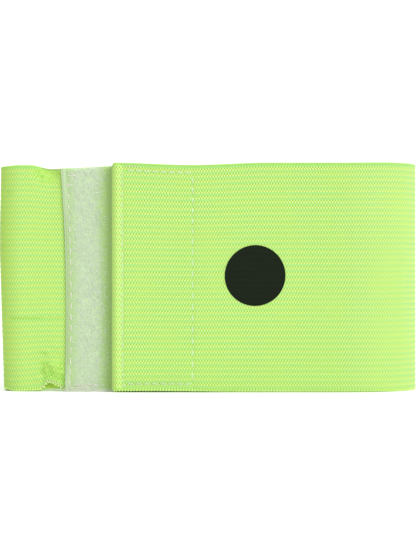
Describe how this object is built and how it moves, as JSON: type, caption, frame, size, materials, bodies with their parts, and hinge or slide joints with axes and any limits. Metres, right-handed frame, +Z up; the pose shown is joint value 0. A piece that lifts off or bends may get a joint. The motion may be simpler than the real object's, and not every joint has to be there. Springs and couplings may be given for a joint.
{
  "type": "captain armband",
  "caption": "Captain's armband: wide neon elastic webbing closed to a loop by hook and loop, with a folded, box-stitched tab end and a plain black disc print.",
  "frame": {"origin": "centre of the bounding box on the surface that the lower selvage stands on", "axes": "+X along the flattened loop, from the pressed fold to the round end; -Y faces the front, where the tab lies; +Z up, across the webbing"},
  "size_m": [0.1398, 0.0338, 0.075],
  "materials": {
    "webbing": "matte ribbed elastic weave, neon yellow-green",
    "loop_tape": "matte fuzzy loop pile, pale green-white",
    "hook_tape": "nylon hook tape, pale green-white",
    "thread": "translucent whitish sewing thread",
    "print": "thin black transfer film, slightly glossy"
  },
  "bodies": {
    "root": {"elastic_band": "webbing", "loop_patch": "loop_tape", "hook_patch": "hook_tape"}
  },
  "joints": []
}
